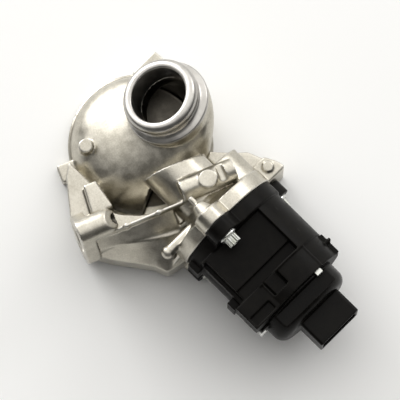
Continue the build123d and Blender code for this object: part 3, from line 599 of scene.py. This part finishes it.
@dataclass(frozen=True)
class SpigotSizes:
    """Place and turned sizes of the hose spigot."""

    # Outline of the turned metal as radius and station below the mouth, in millimetres
    OUTLINE: ClassVar[tuple[tuple[float, float], ...]] = (
        (16.5, 17.4),
        (16.5, 1.1),
        (16.9, 0.35),
        (17.6, 0.0),
        (19.7, 0.0),
        (20.5, 0.3),
        (21.5, 1.1),
        (22.2, 2.1),
        (22.45, 3.2),
        (22.45, 4.6),
        (22.1, 5.7),
        (21.3, 6.6),
        (20.75, 7.4),
        (20.65, 9.3),
        (20.9, 10.6),
        (21.6, 11.6),
        (22.8, 12.3),
        (24.3, 12.9),
        (24.9, 13.3),
        (25.05, 13.9),
        (25.05, 15.0),
        (24.8, 15.6),
        (24.0, 16.3),
        (23.0, 17.4),
    )

    mouth: Vector = field(default_factory=lambda: Vector((-6.0, 20.5, 60.0)) * MM)
    axis: Vector = field(default_factory=lambda: Vector((-0.386, -0.141, 0.912)).normalized())
    cut: float = 15.6 * MM
    reach: float = 30.0 * MM
    foot: float = 34 * MM

    def frame(self) -> Matrix:
        """Axis system at the mouth, with its third axis out of the hose."""
        turn = self.axis.to_track_quat("Z", "Y").to_matrix().to_4x4()
        return Matrix.Translation(self.mouth) @ turn

    def beside(self, point: Vector) -> bool:
        """Whether a point lies near the spigot's axis and above its foot.

        Args:
            point: Point in the model's frame.

        Returns:
            True where the cast spigot can be.
        """
        way = point - self.mouth
        distance = (way - self.axis * way.dot(self.axis)).length
        return distance < self.reach and point.z > self.foot


class Library:
    """All finishes of the object, each built once when it is first used."""

    def __init__(self, spigot: SpigotSizes) -> None:
        """Describe each finish under the name that the pieces use.

        Args:
            spigot: Sizes of the hose spigot, whose axis the turned rings go round.
        """
        rings = main_axis_frame()
        steel = Tone.STEEL.value
        iron = Tone.IRON.value
        copper = Tone.COPPER.value
        black = Tone.BLACK.value
        rubber = Tone.RUBBER.value
        made = (
            CastFinish(
                "die_cast_aluminium",
                *Tone.CAST.value,
                gloss=(0.28, 0.4),
                grain=0.8 * MM,
                depth=0.05 * MM,
                edge_share=0.6,
            ),
            TurnedFinish(
                "turned_spigot", *Tone.TURNED.value, gloss=(0.3, 0.36), frame=spigot.frame()
            ),
            TurnedFinish("turned_steel", *steel, gloss=(0.18, 0.3), frame=rings),
            TurnedFinish("ground_steel", *Tone.GROUND.value, gloss=(0.1, 0.2), frame=rings),
            TurnedFinish("sintered_bronze", *Tone.BRONZE.value, gloss=(0.35, 0.5), frame=rings),
            TurnedFinish("copper_segments", *copper, gloss=(0.2, 0.35), frame=rings),
            Finish("sheet_steel_laminations", *iron, gloss=(0.4, 0.55), depth=0.04 * MM),
            Finish("pressed_steel", *steel, gloss=(0.25, 0.38), edge_share=0.4),
            Finish(
                "zinc_plating", *Tone.ZINC.value, gloss=(0.22, 0.36), patch=2.5 * MM, edge_share=0.5
            ),
            Finish("spring_wire", *iron, gloss=(0.25, 0.35)),
            Finish("soft_rubber", *rubber, metallic=0.0, gloss=(0.5, 0.65)),
            Finish("carbon_block", *rubber, metallic=0.0, gloss=(0.45, 0.6)),
            Finish("sintered_ferrite", *iron, metallic=0.3, gloss=(0.5, 0.6)),
            Finish("coated_board", *Tone.GREEN.value, metallic=0.0, gloss=(0.25, 0.35)),
            Finish("cream_nylon", *Tone.CREAM.value, metallic=0.0, gloss=(0.35, 0.5)),
            WoundFinish("enamelled_wire", *copper, metallic=0.8, gloss=(0.2, 0.3), depth=0.2 * MM),
            MouldedFinish(
                "black_glass_filled_plastic",
                *black,
                metallic=0.0,
                gloss=(0.34, 0.46),
                depth=0.03 * MM,
                # Lighter edges: a painted highlight
                edge=(0.02, 0.019, 0.017),
                edge_share=0.5,
            ),
            MouldedFinish(
                "black_polished_plastic",
                *black,
                metallic=0.0,
                gloss=(0.26, 0.36),
                depth=0.015 * MM,
                # Lighter edges: a painted highlight
                edge=(0.018, 0.017, 0.016),
                edge_share=0.4,
                sheen=0.04,
            ),
        )
        self.finishes: dict[str, Finish] = {finish.name: finish for finish in made}
        self.built: dict[str, bpy.types.Material] = {}

    def dress(self, piece: bpy.types.Object, name: str) -> None:
        """Give a piece one finish all over.

        Args:
            piece: Mesh object to dress.
            name: Name of the finish.
        """
        if name not in self.built:
            self.built[name] = self.finishes[name].material()
        piece.data.materials.clear()
        piece.data.materials.append(self.built[name])


def piece_from_mesh(name: str, mesh: bpy.types.Mesh) -> bpy.types.Object:
    """Put a finished mesh into the scene as an object at the origin.

    Args:
        name: Name of the piece.
        mesh: Its mesh, in the model's frame.

    Returns:
        The new piece.
    """
    piece = bpy.data.objects.new(name, mesh)
    bpy.context.scene.collection.objects.link(piece)
    return piece


@dataclass(frozen=True)
class SoftenedCopy:
    """Copy of a moulded or cast node whose edges are rounded all over."""

    node: str
    name: str
    voxel: float
    passes: int
    pull: float = 0.5
    triangles: int = 185000
    quick_voxels: float = 2.0

    def build(self, source: bpy.types.Object) -> bpy.types.Object:
        """Merge, remesh and smooth a copy of the node's mesh.

        Args:
            source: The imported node.

        Returns:
            The new piece, at the origin.
        """
        work = piece_from_mesh(self.name + "_work", self.merged(source.data))
        remesh = work.modifiers.new("skin", "REMESH")
        remesh.mode = "VOXEL"
        remesh.voxel_size = self.voxel * 1.0
        soften = work.modifiers.new("soften", "SMOOTH")
        soften.factor = self.pull
        soften.iterations = self.passes
        mesh = self.result(work)
        count = sum(len(face.vertices) - 2 for face in mesh.polygons)
        if count > self.triangles:
            bpy.data.meshes.remove(mesh)
            thin = work.modifiers.new("thin", "DECIMATE")
            thin.ratio = self.triangles / count
            mesh = self.result(work)
        work_mesh = work.data
        bpy.data.objects.remove(work)
        bpy.data.meshes.remove(work_mesh)
        mesh.name = self.name
        mesh.shade_smooth()
        return piece_from_mesh(self.name, mesh)

    @staticmethod
    def merged(packed: bpy.types.Mesh) -> bpy.types.Mesh:
        """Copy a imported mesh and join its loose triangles.

        Args:
            packed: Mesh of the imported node, which stays as it is.

        Returns:
            The joined copy.
        """
        joined = packed.copy()
        mesh = bmesh.new()
        mesh.from_mesh(joined)
        bmesh.ops.remove_doubles(mesh, verts=mesh.verts, dist=SEAM)
        mesh.to_mesh(joined)
        mesh.free()
        return joined

    @staticmethod
    def result(work: bpy.types.Object) -> bpy.types.Mesh:
        """Read the mesh as its modifiers leave it."""
        graph = bpy.context.evaluated_depsgraph_get()
        return bpy.data.meshes.new_from_object(work.evaluated_get(graph))


@dataclass
class Castings:
    """The die-cast housing and its lathe-turned hose spigot."""

    library: Library
    spigot: SpigotSizes
    skin: SoftenedCopy = SoftenedCopy("valve_housing", "housing_skin", 0.62 * MM, 4)
    steps: int = 128
    crease: float = math.radians(50)
    cut_seam: float = 0.0001 * MM
    turned_seam: float = 0.001 * MM

    def build(self, nodes: Nodes) -> list[bpy.types.Object]:
        """Build and dress both pieces.

        Args:
            nodes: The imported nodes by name.

        Returns:
            The new pieces.
        """
        body = self.skin.build(nodes["valve_housing"])
        self.open_for_spigot(body.data)
        self.library.dress(body, "die_cast_aluminium")
        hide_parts("valve_housing")
        ring = self.turned_spigot()
        self.library.dress(ring, "turned_spigot")
        for piece in (body, ring):
            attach(piece, "housing")
        return [body, ring]

    def open_for_spigot(self, skin: bpy.types.Mesh) -> None:
        """Cut the cast spigot off where the turned one begins, and close the cut.

        Args:
            skin: Mesh of the softened housing.
        """
        mesh = bmesh.new()
        mesh.from_mesh(skin)
        faces = {face for face in mesh.faces if self.spigot.beside(face.calc_center_median())}
        edges = {edge for face in faces for edge in face.edges}
        corners = {corner for face in faces for corner in face.verts}
        cut = bmesh.ops.bisect_plane(
            mesh,
            geom=[*faces, *edges, *corners],
            dist=self.cut_seam,
            plane_co=self.spigot.mouth - self.spigot.axis * self.spigot.cut,
            plane_no=self.spigot.axis,
            clear_outer=True,
        )
        rims = [
            item
            for item in cut["geom_cut"]
            if isinstance(item, bmesh.types.BMEdge) and item.is_boundary
        ]
        bmesh.ops.bridge_loops(mesh, edges=rims)
        mesh.to_mesh(skin)
        mesh.free()
        skin.shade_smooth()

    def turned_spigot(self) -> bpy.types.Object:
        """Spin the turned outline about the spigot's axis.

        Returns:
            The new piece.
        """
        mesh = bmesh.new()
        points = [
            mesh.verts.new((radius * MM, 0.0, -station * MM))
            for radius, station in self.spigot.OUTLINE
        ]
        edges = [mesh.edges.new(pair) for pair in zip(points, points[1:] + points[:1])]
        bmesh.ops.spin(
            mesh,
            geom=points + edges,
            cent=(0, 0, 0),
            axis=(0, 0, 1),
            angle=2 * math.pi,
            steps=self.steps,
            use_merge=True,
        )
        bmesh.ops.remove_doubles(mesh, verts=mesh.verts, dist=self.turned_seam)
        bmesh.ops.recalc_face_normals(mesh, faces=mesh.faces)
        bmesh.ops.transform(mesh, matrix=self.spigot.frame(), verts=mesh.verts)
        data = bpy.data.meshes.new("spigot_ring")
        mesh.to_mesh(data)
        mesh.free()
        data.shade_smooth()
        data.set_sharp_from_angle(angle=self.crease)
        return piece_from_mesh("spigot_ring", data)


@dataclass
class Covers:
    """The moulded body and end cap of the actuator."""

    library: Library
    copies: tuple[tuple[SoftenedCopy, str], ...] = (
        (SoftenedCopy("motor_body", "body_moulding", 0.46 * MM, 2), "black_glass_filled_plastic"),
        (SoftenedCopy("end_cap", "cap_moulding", 0.42 * MM, 2), "black_polished_plastic"),
    )

    def build(self, nodes: Nodes) -> list[bpy.types.Object]:
        """Build and dress the two mouldings.

        Args:
            nodes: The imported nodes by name.

        Returns:
            The new pieces.
        """
        made = []
        for copy, finish in self.copies:
            piece = copy.build(nodes[copy.node])
            self.library.dress(piece, finish)
            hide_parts(copy.node)
            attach(piece, "housing")
            made.append(piece)
        return made


@dataclass
class InnerWorks:
    """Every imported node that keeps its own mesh, with its finish."""

    FINISHES: ClassVar[dict[str, str]] = {
        "valve_seat_ring": "turned_steel",
        "stem_guide": "sintered_bronze",
        "soot_shield": "pressed_steel",
        "stem_seal": "soft_rubber",
        "outlet_seal_ring": "soft_rubber",
        "actuator_seal_ring": "soft_rubber",
        "valve_disc": "turned_steel",
        "valve_stem": "ground_steel",
        "spring_retainer": "pressed_steel",
        "retainer_collets": "pressed_steel",
        "return_spring": "spring_wire",
        "ear_sleeves": "pressed_steel",
        "actuator_screws": "zinc_plating",
        "retaining_clips": "zinc_plating",
        "stator_can": "pressed_steel",
        "stator_magnets": "sintered_ferrite",
        "brush_holder": "black_glass_filled_plastic",
        "brushes": "carbon_block",
        "brush_springs": "sintered_bronze",
        "rear_bush": "sintered_bronze",
        "plunger_guide": "turned_steel",
        "plunger": "ground_steel",
        "cross_pin": "ground_steel",
        "bearing_outer_ring": "ground_steel",
        "bearing_inner_ring": "ground_steel",
        "bearing_balls": "ground_steel",
        "ball_cage": "cream_nylon",
        "rotor_sleeve": "turned_steel",
        "rotor_shaft": "ground_steel",
        "armature_core": "sheet_steel_laminations",
        "windings": "enamelled_wire",
        "commutator": "copper_segments",
        "sensor_magnet": "sintered_ferrite",
        "cap_seal": "soft_rubber",
        "circuit_board": "coated_board",
        "position_sensor": "black_polished_plastic",
        "connector_pins": "sintered_bronze",
    }
    ROUNDED: ClassVar[dict[str, float]] = {
        "actuator_screws": 0.22 * MM,
        "retaining_clips": 0.18 * MM,
        "ear_sleeves": 0.15 * MM,
        "connector_pins": 0.12 * MM,
    }

    library: Library
    segments: int = 2
    sharp: float = math.radians(40)

    def build(self, nodes: Nodes) -> None:
        """Dress each node, and round the edges of those that show.

        Args:
            nodes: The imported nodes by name.
        """
        for name, finish in self.FINISHES.items():
            self.library.dress(nodes[name], finish)
            LOG.info("%s is dressed in %s", name, finish)
        for name, width in self.ROUNDED.items():
            self.round_edges(nodes[name], width)

    def round_edges(self, piece: bpy.types.Object, width: float) -> None:
        """Join the loose triangles of a node and round its sharp edges.

        Args:
            piece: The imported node.
            width: Width of the rounding.
        """
        weld = piece.modifiers.new("weld", "WELD")
        weld.merge_threshold = SEAM
        bevel = piece.modifiers.new("round", "BEVEL")
        bevel.width = width
        bevel.segments = self.segments
        bevel.limit_method = "ANGLE"
        bevel.angle_limit = self.sharp
        bevel.harden_normals = False


@dataclass(frozen=True)
class Lamp:
    """Soft square lamp that hangs right, up and back of the object in the picture."""

    name: str
    right: float
    up: float
    back: float
    side: float
    watts: float


@dataclass
class Studio:
    """Pale floor, soft lamps and the camera of the photograph."""

    target: Vector = field(default_factory=lambda: Vector((50.0, -1.65, 30.0)) * MM)
    azimuth: float = math.radians(45)
    elevation: float = math.radians(80)
    distance: float = 2.6
    frame_width: float = 228 * MM
    sensor: float = 36.0
    clip: Band = (0.05, 20.0)
    lamps: tuple[Lamp, ...] = (
        Lamp("key", right=-0.85, up=1.0, back=0.2, side=0.7, watts=8.0),
        Lamp("edge", right=0.75, up=0.9, back=0.45, side=0.4, watts=2.0),
    )
    room_tone: Colour = (0.98, 0.97, 0.95)
    bright_side: float = 1.6
    dark_side: float = 0.1
    dusk: Band = (0.2, 0.9)
    window_up: float = 0.8
    window_back: float = 0.6
    floor_half: float = 3.0
    floor_tone: Colour = (0.93, 0.93, 0.92)
    floor_roughness: float = 0.7

    def axes(self) -> tuple[Vector, Vector, Vector]:
        """Work out the directions of the picture.

        Returns:
            Right, up and backward direction.
        """
        back = Vector(
            (
                math.sin(self.azimuth) * math.cos(self.elevation),
                -math.cos(self.azimuth) * math.cos(self.elevation),
                math.sin(self.elevation),
            )
        )
        right = Vector((math.cos(self.azimuth), math.sin(self.azimuth), 0.0))
        return right, back.cross(right), back

    def build(self) -> None:
        """Set the floor, the room, the lamps and the camera."""
        right, up, back = self.axes()
        self.floor()
        self.room(up * self.window_up + back * self.window_back)
        for lamp in self.lamps:
            self.hang(lamp, right * lamp.right + up * lamp.up + back * lamp.back)
        self.camera(right, up, back)

    def floor(self) -> None:
        """Lay a wide pale sheet under the object."""
        mesh = bmesh.new()
        bmesh.ops.create_grid(mesh, x_segments=2, y_segments=2, size=self.floor_half)
        data = bpy.data.meshes.new("studio_floor")
        mesh.to_mesh(data)
        mesh.free()
        sheet = piece_from_mesh("studio_floor", data)
        skin = Skin("pale_floor")
        skin.shader.inputs["Base Color"].default_value = opaque(self.floor_tone)
        skin.shader.inputs["Roughness"].default_value = self.floor_roughness
        data.materials.append(skin.material)

    def room(self, window: Vector) -> None:
        """Surround the object with a room that is bright on one side.

        Args:
            window: Direction of the bright side.
        """
        world = bpy.data.worlds.new("studio_room")
        world.use_nodes = True
        graph = Graph(world.node_tree)
        way = graph.node("ShaderNodeTexCoord").outputs["Generated"]
        facing = graph.node(
            "ShaderNodeVectorMath", {0: way, 1: window.normalized()}, operation="DOT_PRODUCT"
        )
        share = Wire(graph, facing.outputs["Value"])
        background = graph.tree.nodes["Background"]
        background.inputs["Color"].default_value = opaque(self.room_tone)
        strength = share.ramp(*self.dusk, self.dark_side, self.bright_side)
        graph.feed(background.inputs["Strength"], strength)
        bpy.context.scene.world = world

    def hang(self, lamp: Lamp, place: Vector) -> None:
        """Hang a lamp that faces the object.

        Args:
            lamp: The lamp.
            place: Its place seen from the object's middle.
        """
        data = bpy.data.lights.new(lamp.name, "AREA")
        data.size = lamp.side
        data.energy = lamp.watts
        hung = bpy.data.objects.new(lamp.name, data)
        hung.location = self.target + place
        hung.rotation_mode = "QUATERNION"
        hung.rotation_quaternion = (-place).to_track_quat("-Z", "Y")
        bpy.context.scene.collection.objects.link(hung)

    def camera(self, right: Vector, up: Vector, back: Vector) -> None:
        """Aim the camera as the photograph was taken.

        Args:
            right: Right direction of the picture.
            up: Up direction of the picture.
            back: Direction from the object to the camera.
        """
        data = bpy.data.cameras.new("photo_camera")
        data.sensor_width = self.sensor
        data.lens = self.sensor * self.distance / self.frame_width
        data.clip_start, data.clip_end = self.clip
        camera = bpy.data.objects.new("photo_camera", data)
        turn = Matrix((right, up, back)).transposed().to_4x4()
        camera.matrix_world = Matrix.Translation(self.target + back * self.distance) @ turn
        bpy.context.scene.collection.objects.link(camera)
        bpy.context.scene.camera = camera


def main() -> None:
    """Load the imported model, dress it, and set the studio."""
    logging.basicConfig(level=logging.INFO, format="%(message)s")
    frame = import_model()
    nodes = frame["nodes"]
    spigot = SpigotSizes()
    library = Library(spigot)
    for piece in Castings(library, spigot).build(nodes) + Covers(library).build(nodes):
        LOG.info("%s has %d faces", piece.name, len(piece.data.polygons))
    InnerWorks(library).build(nodes)
    Studio().build()
    bpy.context.scene.view_settings.view_transform = "Standard"


if __name__ == "__main__":
    main()
